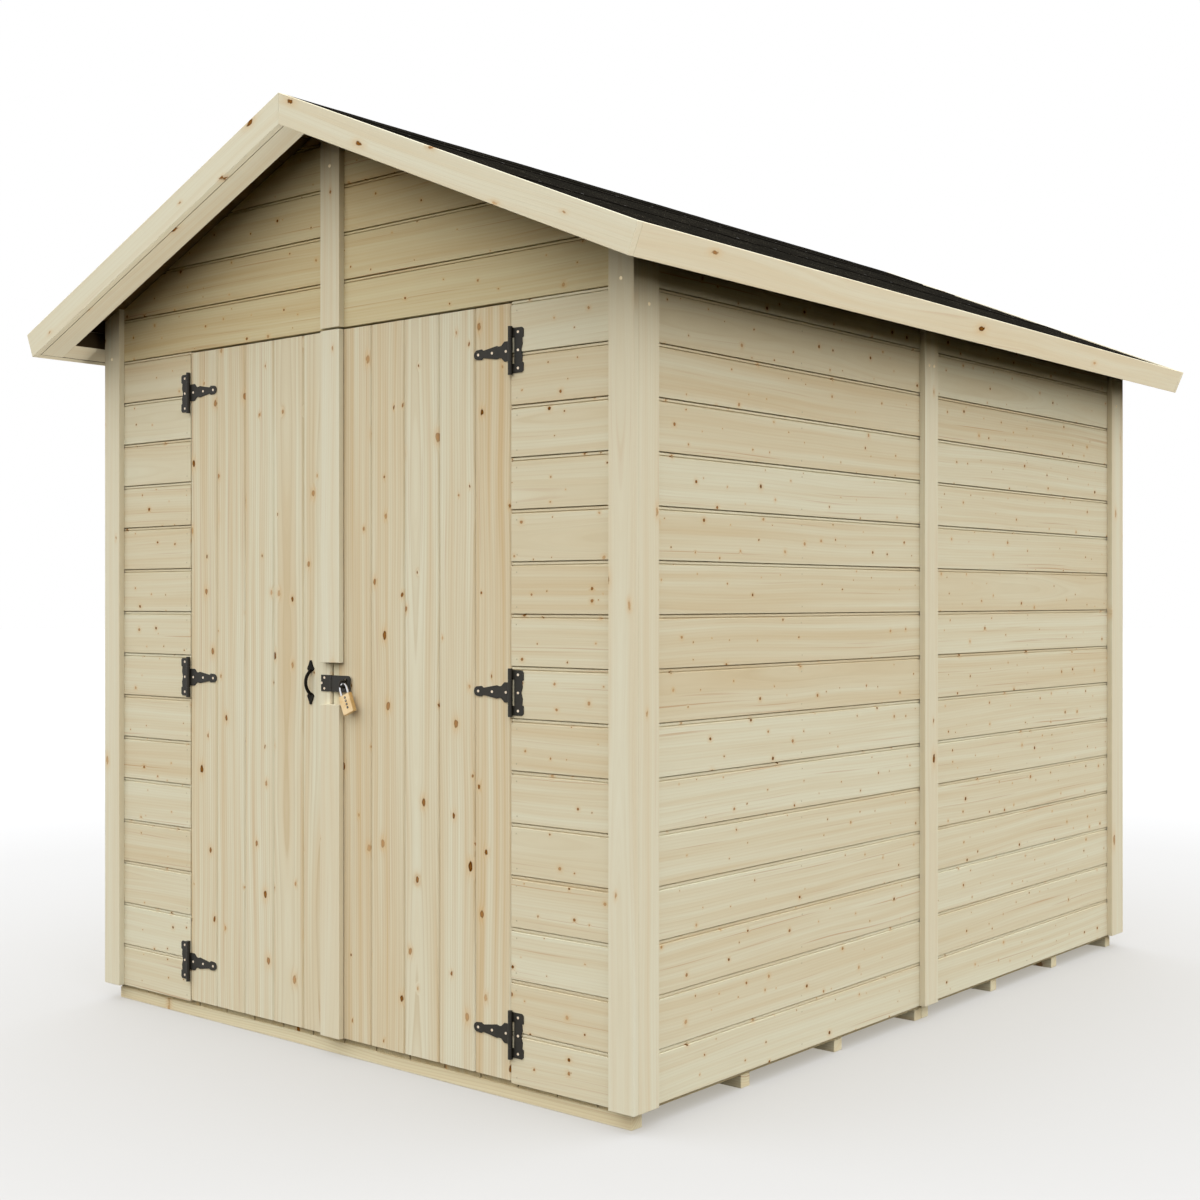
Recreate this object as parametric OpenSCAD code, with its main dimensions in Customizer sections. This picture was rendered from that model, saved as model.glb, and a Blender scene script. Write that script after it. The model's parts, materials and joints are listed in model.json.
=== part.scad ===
/* [Walls] */
// Width over the cladding, left to right
wall_w = 1812; // [1700:1:2300]
// Length over the cladding, front to back
wall_l = 2404; // [1800:1:3600]
// Height of the side cladding at its outer face
side_h = 1799; // [1500:1:2100]
// Cover height of one cladding board
board_pitch = 112; // [100:1:116]
// Thickness of the cladding and of the door boards
clad_t = 12; // [10:0.5:18]
// Depth of the wall framing behind the cladding
frame_t = 28; // [22:1:45]
// Width of the wall framing across its face
frame_w = 44; // [36:1:60]

/* [Trims] */
// Width of every trim board
trim_w = 67; // [55:1:80]
// Thickness of every trim board
trim_t = 16; // [12:0.5:20]

/* [Floor] */
// Height of a floor joist
joist_h = 29; // [25:1:70]
// Width of a floor joist
joist_w = 34; // [25:1:60]
// Thickness of the floor boards
floor_t = 12; // [10:0.5:20]
// Joists under each of the two floor panels
joists_per_panel = 4; // [3:1:6]
// How far the floor stands in from the cladding's outer face
floor_inset = 14; // [13:1:30]

/* [Roof] */
// Slope of the roof in degrees
roof_pitch = 23; // [18:0.5:30]
// Overhang of the eaves boards' top edges beyond the side cladding, measured level
eaves_overhang = 150; // [130:1:260]
// Overhang of the barge boards' faces beyond the end cladding
verge_overhang = 169; // [120:1:300]
// Thickness of the roof boards
roof_t = 11; // [9:0.5:18]
// Thickness of the roofing felt
felt_t = 2; // [1.5:0.5:4]
// How far the barge and eaves boards stand above the felt
felt_lip = 2.5; // [1:0.5:6]

/* [Doors] */
// Width of the doorway
doorway_w = 1133; // [1000:1:1170]
// How far the doorway's centre stands to the right of the middle of the front
doorway_off = 5; // [0:0.5:10]
// Least height of wall kept between the doorway and the eaves
head_drop = 70; // [60:1:200]
// Clear gap over and under each door
door_gap = 5; // [5:0.5:8]
// Gap between a door and the wall at its hinges
side_gap = 1.5; // [1:0.5:4]
// Gap between the two doors behind the cover strip
meeting_gap = 24; // [16:1:30]
// Thickness of the ledges and braces behind the doors
ledge_t = 16; // [12:0.5:20]

/* [Hinges] */
// Distance of the end hinges from the door's top and bottom
hinge_end = 100; // [80:1:160]
// Height of the fixed plate
plate_h = 97; // [90:1:110]
// Width of the fixed plate from the pin's axis
plate_w = 34.5; // [32:0.5:44]
// Length of the strap from the pin's axis
strap_l = 112; // [95:1:130]
// Thickness of the hinge metal
hinge_t = 2; // [1.5:0.5:3]
// Diameter of the hinge barrel
barrel_d = 10; // [9:0.5:12]
// Diameter of the hinge pin
pin_d = 5; // [4:0.5:6]

/* [Lock] */
// Height of the gap between the two lengths of cover strip
strip_break = 99; // [90:1:130]
// Height of the hasp's plates
hasp_h = 39; // [34:1:44]
// Length of the hasp's flap from its pin
flap_l = 68; // [64:1:80]
// Length of the hasp's fixed leaf from its pin
leaf_l = 41; // [36:1:46]
// Width of the padlock's body
lock_w = 36; // [30:1:40]
// Height of the padlock's body
lock_h = 46; // [40:1:50]
// Thickness of the padlock's body
lock_t = 12; // [11:0.5:15]
// Tilt of the hanging padlock in degrees
lock_tilt = 23; // [0:1:25]
// Overall height of the door handle
handle_h = 106; // [96:1:130]

/* [Hidden] */
$fn = 48;

pine = [0.86, 0.78, 0.62];
frame_pine = [0.84, 0.74, 0.56];
black_metal = [0.10, 0.10, 0.10];
felt_black = [0.16, 0.16, 0.17];
brass = [0.82, 0.62, 0.30];
steel = [0.78, 0.78, 0.80];

panel_joint = 2;
seat = 0.1;
knuckle_gap = 0.5;
pin_play = 0.1;
barrel_stand = 1;

wall_x = wall_w/2;
wall_y = wall_l/2;
in_x = wall_x - clad_t;
in_y = wall_y - clad_t;
base_z = joist_h + floor_t;
face_y = -wall_y;

slope = tan(roof_pitch);
ridge_z = base_z + side_h + wall_x*slope;
trim_top = roof_t + felt_t + felt_lip;
trim_foot = trim_top - trim_w;
roof_w = wall_w + 2*eaves_overhang;
roof_l = wall_l + 2*verge_overhang;
rafter_h = frame_w/cos(roof_pitch);
eave_s = (roof_w/2 - trim_top*sin(roof_pitch))/cos(roof_pitch);
barge_y = roof_l/2 - trim_t;

doorway_rows = floor((side_h - head_drop)/board_pitch);
head_z = base_z + doorway_rows*board_pitch;
right_jamb = doorway_w/2 + doorway_off;
left_jamb = doorway_w/2 - doorway_off;
meet_x = meeting_gap/2;
door_foot = base_z + door_gap;
door_top = head_z - door_gap;
hinge_past = 2;
hinge_drop = 2.5;
hinge_y = face_y - barrel_d/2 - barrel_stand;
low_hinge = door_foot + hinge_end;
top_hinge = door_top - hinge_end - hinge_drop;
hinge_zs = [low_hinge, (low_hinge + top_hinge)/2, top_hinge];
barrel_past = 3.5;
root_in = 5.5;
strap_tip = 10.5;
plate_clear = 3;
plate_play = 1;
barrel_h = plate_h + 2*barrel_past;
strap_knuckle = barrel_h*0.52;
strap_root = strap_knuckle - 2*root_in;
// The strap's outline from its pin: share of its length, share of its root's half height
strap_line = [[0, 1], [0.19, 1], [0.27, 0.62], [0.325, 0.58], [0.39, 0.67], [0.73, 0.38], [0.765, 0.4],
              [0.795, 0.53]];
// The plate's free edge from its middle: share of its width, share of its half height
plate_line = [[0.8, 0], [0.92, 0.27], [0.875, 0.53], [1, 0.58], [1, 0.92], [0.87, 1]];

ledge_in = 45;
ledge_out = 30;
strip_play = 2;
tongue_set = 3;
hasp_z = (door_foot + door_top)/2;
hasp_past = 6;
hasp_x = hasp_past - meet_x;
flap_stand = 5;
hasp_r = 3.5;
hasp_pin_d = 3;
hasp_web = 5;
hasp_notch = 4;
hasp_span = hasp_h - 2*hasp_notch;
flap_step = 1;
flap_round = 8;
hasp_y = face_y - flap_stand;
wire_d = 5;
staple_in = 16;
staple_x = hasp_x + flap_l - staple_in;
staple_half = 7;
slot_play = 3;
staple_out = 28;
shackle_out = 17;
shackle_y = face_y - shackle_out;
shackle_in = 6;
shackle_half = lock_w/2 - shackle_in;
shackle_rise = 14;
leg_in = 12;
handle_x = -85;
handle_d = 8;
handle_out = 17;
spear_w = 24;
spear_h = 27;
spear_t = 3;
spear_lap = 3;
// The spear head's outline from its tip: share of its height, share of its half width
spear_line = [[0, 0.18], [0.25, 0.4], [0.5, 0.68], [0.74, 1], [0.86, 0.84], [1, 0.5]];

// Top of what bears under the roof boards, at a distance from the centre line
function roof_z(x) = ridge_z - seat - abs(x)*slope;

// A point given down the right slope from the ridge, and square to it above the boards' underside
function on_slope(s, n) = [
  s*cos(roof_pitch) + n*sin(roof_pitch),
  ridge_z - s*sin(roof_pitch) + n*cos(roof_pitch)
];

// A section of the right slope from a plumb cut at the given x, out to s, between two heights
function slope_band(x, s, n0, n1) = [
  on_slope((x - n0*sin(roof_pitch))/cos(roof_pitch), n0),
  on_slope(s, n0),
  on_slope(s, n1),
  on_slope((x - n1*sin(roof_pitch))/cos(roof_pitch), n1)
];

// A section of the right slope between two distances down it
function slope_block(s0, s1, n0, n1) = [
  on_slope(s0, n0), on_slope(s1, n0), on_slope(s1, n1), on_slope(s0, n1)
];

// A board standing between two x values with its top cut to the roof
function under_roof(x0, x1, z0) = [[x0, z0], [x1, z0], [x1, roof_z(x1)], [x0, roof_z(x0)]];

module box(lo, hi) {
  translate(lo) cube(hi - lo);
}

module along_y(y0, y1) {
  translate([0, y1, 0]) rotate([90, 0, 0]) linear_extrude(y1 - y0) children();
}

module both_sides() {
  children();
  mirror([1, 0, 0]) children();
}

module both_ends() {
  children();
  mirror([0, 1, 0]) children();
}

module floor_joists() {
  panel = wall_y - floor_inset - panel_joint/2;
  step = (panel - joist_w)/(joists_per_panel - 1);
  x = wall_x - floor_inset;
  color(frame_pine) both_ends() for (i = [0:joists_per_panel - 1]) {
    y = panel_joint/2 + i*step;
    box([-x, y, 0], [x, y + joist_w, joist_h]);
  }
}

module floor_deck() {
  x = wall_x - floor_inset;
  color(frame_pine) both_ends()
    box([-x, panel_joint/2, joist_h], [x, wall_y - floor_inset, base_z]);
}

module front_wall_left() {
  color(pine) box([-wall_x, face_y, base_z], [-left_jamb, -in_y, head_z]);
}

module front_wall_right() {
  color(pine) box([right_jamb, face_y, base_z], [wall_x, -in_y, head_z]);
}

module front_gable() {
  color(pine) along_y(face_y, -in_y)
    polygon([[-wall_x, head_z], [wall_x, head_z], [wall_x, roof_z(wall_x)], [0, roof_z(0)],
             [-wall_x, roof_z(wall_x)]]);
}

module side_wall() {
  both_ends() along_y(panel_joint/2, in_y) polygon(under_roof(in_x, wall_x, base_z));
}

module left_wall() {
  color(pine) mirror([1, 0, 0]) side_wall();
}

module right_wall() {
  color(pine) side_wall();
}

module rear_wall() {
  color(pine) both_sides() along_y(in_y, wall_y) polygon(under_roof(panel_joint/2, wall_x, base_z));
}

module end_wall_studs() {
  foot = base_z + frame_w;
  inner = in_y - frame_t;
  corner_in = in_x - frame_w;
  color(frame_pine) {
    along_y(-in_y, -inner) polygon(under_roof(right_jamb, right_jamb + frame_w, foot) - frame_cut());
    mirror([1, 0, 0]) along_y(-in_y, -inner)
      polygon(under_roof(left_jamb, left_jamb + frame_w, foot) - frame_cut());
  }
  color(frame_pine) both_sides() {
    along_y(-in_y, -inner) polygon(under_roof(corner_in, in_x, foot) - frame_cut());
    along_y(inner, in_y) polygon(under_roof(corner_in, in_x, foot) - frame_cut());
    along_y(inner, in_y) polygon(under_roof(panel_joint/2, frame_w, foot) - frame_cut());
  }
}

// What is taken off the top of the studs that stand under the rafters: the rafters' plumb depth and a seat
function frame_cut() = [[0, 0], [0, 0], [0, rafter_h + seat], [0, rafter_h + seat]];

module end_wall_rails() {
  inner = in_y - frame_t;
  color(frame_pine) {
    box([right_jamb, -in_y, base_z], [in_x, -inner, base_z + frame_w]);
    box([-in_x, -in_y, base_z], [-left_jamb, -inner, base_z + frame_w]);
    box([-left_jamb, -in_y, head_z], [right_jamb, -inner, head_z + frame_w]);
  }
  color(frame_pine) both_sides() {
    box([panel_joint/2, inner, base_z], [in_x, in_y, base_z + frame_w]);
    both_ends() along_y(inner, in_y)
      polygon(slope_band(panel_joint/2, in_x/cos(roof_pitch), -frame_w, -seat));
  }
}

module side_wall_studs() {
  inner = in_x - frame_t;
  foot = base_z + frame_w;
  top = roof_z(in_x) - frame_w;
  mid = (in_y - frame_t)/2;
  color(frame_pine) both_sides() both_ends() {
    box([inner, in_y - frame_t - frame_w, foot], [in_x, in_y - frame_t, top]);
    box([inner, mid - frame_w/2, foot], [in_x, mid + frame_w/2, top]);
    box([inner, panel_joint/2, foot], [in_x, frame_w, top]);
  }
}

module side_wall_rails() {
  inner = in_x - frame_t;
  top = roof_z(in_x) - frame_w;
  end = in_y - frame_t;
  color(frame_pine) both_sides() both_ends() {
    box([inner, panel_joint/2, base_z], [in_x, end, base_z + frame_w]);
    along_y(panel_joint/2, end) polygon(under_roof(inner, in_x, top));
  }
}

module end_corner_boards() {
  outer = wall_x + trim_t;
  both_sides() along_y(face_y - trim_t, face_y)
    polygon(under_roof(outer - trim_w, outer, base_z));
}

module front_corner_boards() {
  color(pine) end_corner_boards();
}

module rear_corner_boards() {
  color(pine) mirror([0, 1, 0]) end_corner_boards();
}

module side_corner_boards() {
  color(pine) both_sides() both_ends() along_y(wall_y - trim_w, wall_y)
    polygon(under_roof(wall_x, wall_x + trim_t, base_z));
}

module side_cover_strips() {
  color(pine) both_sides() along_y(-trim_w/2, trim_w/2)
    polygon(under_roof(wall_x, wall_x + trim_t, base_z));
}

module gable_strip(z0) {
  half = trim_w/2;
  polygon([[-half, z0], [half, z0], [half, roof_z(half)], [0, roof_z(0)], [-half, roof_z(half)]]);
}

module front_gable_strip() {
  color(pine) along_y(face_y - trim_t, face_y) gable_strip(head_z);
}

module rear_cover_strip() {
  color(pine) along_y(wall_y, wall_y + trim_t) gable_strip(base_z);
}

// The boarding of a right-hand door hung at the given jamb
module door_boards(jamb) {
  box([meet_x, face_y, door_foot], [jamb - side_gap, -in_y, door_top]);
}

// Three ledges across the back of the door, level with its hinges
module door_ledges(jamb) {
  outer = jamb - side_gap - ledge_out;
  for (z = hinge_zs)
    box([ledge_in, -in_y, z - trim_w/2], [outer, -in_y + ledge_t, z + trim_w/2]);
}

// Two braces of the door, each rising from the hinge side
module door_brace(jamb) {
  half = trim_w/2;
  rise = trim_w*0.9;
  outer = jamb - side_gap - ledge_out;
  for (i = [0, 1]) {
    low = hinge_zs[i] + half;
    high = hinge_zs[i + 1] - half;
    along_y(-in_y, -in_y + ledge_t)
      polygon([[outer, low], [outer, low + rise], [ledge_in + trim_w, high], [ledge_in, high],
               [ledge_in, high - rise], [outer - trim_w, low]]);
  }
}

module left_door_boards() {
  color(pine) mirror([1, 0, 0]) door_boards(left_jamb);
}

module left_door_ledges() {
  color(frame_pine) mirror([1, 0, 0]) door_ledges(left_jamb);
}

module left_door_brace() {
  color(frame_pine) mirror([1, 0, 0]) door_brace(left_jamb);
}

// The cover strip in two lengths, rebated where it laps the other door
module left_door_strip() {
  half = trim_w/2;
  back = face_y - strip_play;
  front = face_y - trim_t;
  color(pine) for (span = [[door_foot, hasp_z - strip_break/2], [hasp_z + strip_break/2, door_top]])
    translate([0, 0, span[0]]) linear_extrude(span[1] - span[0])
      polygon([[-half, front], [half, front], [half, back], [-meet_x, back], [-meet_x, face_y],
               [-half, face_y]]);
}

module right_door_boards() {
  color(pine) door_boards(right_jamb);
}

module right_door_ledges() {
  color(frame_pine) door_ledges(right_jamb);
}

module right_door_brace() {
  color(frame_pine) door_brace(right_jamb);
}

// The stile behind the meeting edge, with a tongue between the doors and a lap behind the other one
module right_door_stile() {
  lap = -meet_x - frame_t/2;
  back = -in_y + frame_t;
  tongue = door_gap - meet_x;
  front = face_y + tongue_set;
  color(frame_pine) translate([0, 0, door_foot]) linear_extrude(door_top - door_foot)
    polygon([[lap, back], [ledge_in, back], [ledge_in, -in_y], [meet_x, -in_y], [meet_x, front],
             [tongue, front], [tongue, -in_y + door_gap], [lap, -in_y + door_gap]]);
}

module at_hinges(jamb) {
  for (z = hinge_zs) translate([jamb + hinge_past, hinge_y, z]) children();
}

// Lays a flat outline drawn in x and z on the door's face, behind the pin's axis
module leaf_sheet(t) {
  translate([0, face_y - hinge_y, 0]) rotate([90, 0, 0]) linear_extrude(t) children();
}

// The strap's outline: a wide root, a waist and a bead, a long taper, shoulders and a round tip
module strap_outline() {
  root = strap_root/2;
  tip_x = strap_tip - strap_l;
  edge = concat([for (p = strap_line) [-p[0]*strap_l, p[1]*root]], [[tip_x, strap_tip]]);
  last = len(edge) - 1;
  polygon(concat(edge, [for (i = [last:-1:0]) [edge[i][0], -edge[i][1]]]));
  translate([tip_x, 0]) circle(strap_tip);
}

// The fixed plate's outline: lobed on its free edge, cut back round the strap's knuckle
module plate_outline() {
  half = plate_h/2;
  clear = barrel_d/2 + plate_clear;
  notch = strap_knuckle/2 + plate_play;
  edge = [for (p = plate_line) [p[0]*plate_w, p[1]*half]];
  last = len(edge) - 1;
  difference() {
    polygon(concat([[0, -half]], [for (i = [last:-1:1]) [edge[i][0], -edge[i][1]]], edge, [[0, half]]));
    translate([-1, -notch]) square([clear + 1, 2*notch]);
  }
}

module hinge_straps(jamb) {
  at_hinges(jamb) difference() {
    union() {
      leaf_sheet(hinge_t) strap_outline();
      cylinder(h = strap_knuckle, d = barrel_d, center = true);
    }
    cylinder(h = strap_knuckle + 2, d = pin_d + 2*pin_play, center = true);
  }
}

module hinge_plates(jamb) {
  end_h = (barrel_h - strap_knuckle)/2 - knuckle_gap;
  at_hinges(jamb) {
    leaf_sheet(hinge_t) plate_outline();
    cylinder(h = barrel_h, d = pin_d, center = true);
    for (z = [-barrel_h/2, barrel_h/2 - end_h]) translate([0, 0, z]) cylinder(h = end_h, d = barrel_d);
  }
}

module left_hinge_straps() {
  color(black_metal) mirror([1, 0, 0]) hinge_straps(left_jamb);
}

module left_hinge_plates() {
  color(black_metal) mirror([1, 0, 0]) hinge_plates(left_jamb);
}

module right_hinge_straps() {
  color(black_metal) hinge_straps(right_jamb);
}

module right_hinge_plates() {
  color(black_metal) hinge_plates(right_jamb);
}

// A bow pull standing on two flat spear heads
module door_handle() {
  chord = handle_h/2 - spear_h + spear_lap;
  bow_r = (chord*chord + handle_out*handle_out)/(2*handle_out);
  half_angle = asin(chord/bow_r);
  color(black_metal) translate([handle_x, face_y, hasp_z]) {
    for (side = [-1, 1]) rotate([90, 0, 0]) linear_extrude(spear_t) spear_outline(side);
    intersection() {
      translate([0, bow_r - handle_out, 0]) rotate([0, 90, 0]) rotate([0, 0, -90 - half_angle])
        rotate_extrude(angle = 2*half_angle) translate([bow_r, 0]) circle(d = handle_d);
      box([-handle_d, -2*handle_out, -handle_h/2], [handle_d, 0, handle_h/2]);
    }
  }
}

module spear_outline(side) {
  half = spear_w/2;
  last = len(spear_line) - 1;
  edge = [for (p = spear_line) [p[1]*half, side*(handle_h/2 - p[0]*spear_h)]];
  polygon(concat(edge, [for (i = [last:-1:0]) [-edge[i][0], edge[i][1]]]));
}

module at_hasp() {
  translate([hasp_x, hasp_y, hasp_z]) children();
}

// The fixed leaf with the two outer knuckles and the pin
module hasp_leaf() {
  knuckle = hasp_span*0.28;
  half = hasp_span/2;
  color(black_metal) at_hasp() {
    translate([-leaf_l, flap_stand - hinge_t, -hasp_h/2])
      cube([leaf_l - hasp_r, hinge_t, hasp_h]);
    cylinder(h = hasp_span, d = hasp_pin_d, center = true);
    for (z = [-half, half - knuckle]) translate([0, 0, z]) {
      cylinder(h = knuckle, r = hasp_r);
      translate([-hasp_web, 0, 0]) cube([hasp_web, flap_stand, knuckle]);
    }
  }
}

// The flap with the middle knuckle, its free end rounded and slotted for the staple
module hasp_flap() {
  knuckle = hasp_span*0.44 - 2*knuckle_gap;
  root = hasp_r + flap_step;
  reach = flap_l - root;
  slot_w = wire_d + 2*slot_play;
  slot_h = 2*staple_half + wire_d + 2*slot_play;
  color(black_metal) at_hasp() difference() {
    union() {
      cylinder(h = knuckle, r = hasp_r, center = true);
      translate([0, -hinge_t, -knuckle/2]) cube([root + hinge_t, hinge_t, knuckle]);
      translate([root, 0, 0]) rotate([90, 0, 0]) linear_extrude(hinge_t) {
        translate([0, -hasp_h/2]) square([reach - flap_round, hasp_h]);
        translate([0, -hasp_h/2 + flap_round]) square([reach, hasp_h - 2*flap_round]);
        for (side = [-1, 1]) translate([reach - flap_round, side*(hasp_h/2 - flap_round)]) circle(flap_round);
      }
    }
    cylinder(h = hasp_h, d = hasp_pin_d + 2*pin_play, center = true);
    translate([staple_x - hasp_x - slot_w/2, -hinge_t - 1, -slot_h/2])
      cube([slot_w, hinge_t + 2, slot_h]);
  }
}

// A wire loop on a plate, standing through the flap's slot
module hasp_staple() {
  straight = staple_out - staple_half - wire_d/2;
  color(black_metal) translate([staple_x, face_y, hasp_z]) {
    for (side = [-1, 1]) translate([0, 0, side*staple_half]) rotate([90, 0, 0])
      cylinder(h = straight, d = wire_d);
    translate([0, -straight, 0]) rotate([0, 90, 0]) rotate([0, 0, 180])
      rotate_extrude(angle = 180) translate([staple_half, 0]) circle(d = wire_d);
    translate([-wire_d, -hinge_t, -hasp_span/2]) cube([2*wire_d, hinge_t, hasp_span]);
  }
}

// The padlock's frame: its body's top centre, tilted about the shackle's crown in the staple
module at_padlock() {
  drop = shackle_rise + shackle_half;
  translate([staple_x, shackle_y, hasp_z]) rotate([0, -lock_tilt, 0])
    translate([0, 0, -drop]) children();
}

module padlock_body() {
  color(brass) at_padlock() difference() {
    translate([-lock_w/2, -lock_t/2, -lock_h]) cube([lock_w, lock_t, lock_h]);
    for (side = [-1, 1]) translate([side*shackle_half, 0, -leg_in])
      cylinder(h = leg_in + 1, d = wire_d + 2*pin_play);
  }
}

module padlock_shackle() {
  color(steel) at_padlock() {
    for (side = [-1, 1]) translate([side*shackle_half, 0, -leg_in])
      cylinder(h = shackle_rise + leg_in, d = wire_d);
    translate([0, 0, shackle_rise]) rotate([90, 0, 0])
      rotate_extrude(angle = 180) translate([shackle_half, 0]) circle(d = wire_d);
  }
}

// The boards of the right slope, between the barge boards and up to the eaves board
module roof_boards() {
  along_y(-barge_y, barge_y) polygon(slope_band(0, eave_s - trim_t, 0, roof_t));
}

module roof_felt() {
  along_y(-barge_y, barge_y) polygon(slope_band(0, eave_s - trim_t, roof_t + seat, roof_t + felt_t));
}

module barge_boards() {
  both_ends() along_y(barge_y, roof_l/2) polygon(slope_band(0, eave_s, trim_foot, trim_top));
}

module verge_battens() {
  both_ends() along_y(barge_y - trim_w, barge_y) polygon(slope_band(0, eave_s - trim_t, trim_foot, -seat));
}

module left_roof_boards() {
  color(frame_pine) mirror([1, 0, 0]) roof_boards();
}

module right_roof_boards() {
  color(frame_pine) roof_boards();
}

module left_roof_felt() {
  color(felt_black) mirror([1, 0, 0]) roof_felt();
}

module right_roof_felt() {
  color(felt_black) roof_felt();
}

module left_barge_boards() {
  color(pine) mirror([1, 0, 0]) barge_boards();
}

module right_barge_boards() {
  color(pine) barge_boards();
}

module eaves_boards() {
  color(pine) both_sides() along_y(-barge_y, barge_y)
    polygon(slope_block(eave_s - trim_t + seat, eave_s, trim_foot, trim_top));
}

module left_verge_battens() {
  color(pine) mirror([1, 0, 0]) verge_battens();
}

module right_verge_battens() {
  color(pine) verge_battens();
}

module eaves_battens() {
  y = barge_y - trim_w;
  color(pine) both_sides() along_y(-y, y)
    polygon(slope_block(eave_s - trim_t - trim_w, eave_s - trim_t, trim_foot, -seat));
}

module ridge_battens() {
  y = in_y - frame_t;
  color(frame_pine) both_sides() along_y(-y, y)
    polygon(slope_band(panel_joint/2, rafter_h, -frame_w, -seat));
}

floor_joists();
floor_deck();
front_wall_left();
front_wall_right();
front_gable();
left_wall();
right_wall();
rear_wall();
end_wall_studs();
end_wall_rails();
side_wall_studs();
side_wall_rails();
front_corner_boards();
rear_corner_boards();
side_corner_boards();
side_cover_strips();
front_gable_strip();
rear_cover_strip();
left_door_boards();
left_door_ledges();
left_door_brace();
left_door_strip();
left_hinge_straps();
left_hinge_plates();
right_door_boards();
right_door_ledges();
right_door_brace();
right_door_stile();
right_hinge_straps();
right_hinge_plates();
door_handle();
hasp_leaf();
hasp_flap();
hasp_staple();
padlock_body();
padlock_shackle();
left_roof_boards();
right_roof_boards();
left_roof_felt();
right_roof_felt();
left_barge_boards();
right_barge_boards();
eaves_boards();
left_verge_battens();
right_verge_battens();
eaves_battens();
ridge_battens();
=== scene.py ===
import bmesh
import bpy
import json
import math
import random
from mathutils import Matrix, Vector

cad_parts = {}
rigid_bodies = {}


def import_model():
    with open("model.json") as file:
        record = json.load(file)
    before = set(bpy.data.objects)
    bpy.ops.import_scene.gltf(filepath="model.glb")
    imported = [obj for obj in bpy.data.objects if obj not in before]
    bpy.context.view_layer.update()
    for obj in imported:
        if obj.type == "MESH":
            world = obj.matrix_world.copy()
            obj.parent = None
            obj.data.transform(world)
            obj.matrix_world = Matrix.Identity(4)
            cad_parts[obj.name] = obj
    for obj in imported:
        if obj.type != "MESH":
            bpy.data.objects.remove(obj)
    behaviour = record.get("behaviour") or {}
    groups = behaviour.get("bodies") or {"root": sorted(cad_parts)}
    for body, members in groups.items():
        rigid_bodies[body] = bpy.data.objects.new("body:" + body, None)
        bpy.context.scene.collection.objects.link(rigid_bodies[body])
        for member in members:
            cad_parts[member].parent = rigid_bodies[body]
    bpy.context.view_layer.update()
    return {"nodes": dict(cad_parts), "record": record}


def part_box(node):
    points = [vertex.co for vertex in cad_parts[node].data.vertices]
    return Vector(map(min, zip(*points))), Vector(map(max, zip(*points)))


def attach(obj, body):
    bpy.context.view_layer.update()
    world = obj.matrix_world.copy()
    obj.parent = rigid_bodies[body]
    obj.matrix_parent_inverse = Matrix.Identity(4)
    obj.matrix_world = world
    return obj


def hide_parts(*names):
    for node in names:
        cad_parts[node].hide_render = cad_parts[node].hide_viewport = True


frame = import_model()
scene = bpy.context.scene
dice = random.Random(23)

alongX = Vector((1, 0, 0))
alongY = Vector((0, 1, 0))
alongZ = Vector((0, 0, 1))


def fromScreen(red, green, blue):  # a colour as a screen shows it, made linear
    parts = [part / 255 for part in (red, green, blue)]
    linear = [((part + 0.055) / 1.055) ** 2.4 if part > 0.04045 else part / 12.92 for part in parts]
    return (*linear, 1.0)


# camera

photoCamera = {"place": (3.018, -3.8215, 1.0785), "turn": (90, 0, 40), "lens": 50, "sensor": 36}


def placeCamera(look):
    data = bpy.data.cameras.new("photoCamera")
    data.lens = look["lens"]
    data.sensor_width = look["sensor"]
    camera = bpy.data.objects.new("photoCamera", data)
    camera.location = look["place"]
    camera.rotation_euler = [math.radians(angle) for angle in look["turn"]]
    scene.collection.objects.link(camera)
    scene.camera = camera


placeCamera(photoCamera)
print("camera placed")


# small helpers for the node materials

def newMaterial(name):
    material = bpy.data.materials.new(name)
    material.use_nodes = True
    tree = material.node_tree
    return material, tree, tree.nodes["Principled BSDF"]


def feed(tree, socket, value):  # link a socket, or set a plain value
    if isinstance(value, bpy.types.NodeSocket):
        tree.links.new(value, socket)
    else:
        socket.default_value = value


def addNode(tree, kind, inputs=None, **settings):
    node = tree.nodes.new(kind)
    for key, value in settings.items():
        setattr(node, key, value)
    for key, value in (inputs or {}).items():
        feed(tree, node.inputs[key], value)
    return node


def sums(tree, operation, *values, clamp=False):
    inputs = dict(enumerate(values))
    return addNode(tree, "ShaderNodeMath", inputs, operation=operation, use_clamp=clamp).outputs[0]


def mixColours(tree, share, first, second):
    inputs = {0: share, 6: first, 7: second}
    return addNode(tree, "ShaderNodeMix", inputs, data_type="RGBA").outputs[2]


def stretched(tree, vector, scale):
    return addNode(tree, "ShaderNodeVectorMath", {0: vector, 1: scale}, operation="MULTIPLY").outputs[0]


def noise(tree, vector, scale, detail=2.0):
    inputs = {"Vector": vector, "Scale": scale, "Detail": detail}
    return addNode(tree, "ShaderNodeTexNoise", inputs).outputs[0]


def ramp(tree, value, low, high, outLow=0.0, outHigh=1.0):
    inputs = {0: value, 1: low, 2: high, 3: outLow, 4: outHigh}
    return addNode(tree, "ShaderNodeMapRange", inputs).outputs[0]


def addBump(tree, shader, height, strength, distance):
    inputs = {"Height": height, "Strength": strength, "Distance": distance}
    bump = addNode(tree, "ShaderNodeBump", inputs)
    feed(tree, shader.inputs["Normal"], bump.outputs["Normal"])


# pine: rings about a pith beside the board, streaks that follow them, and knots the rings flow round

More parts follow.
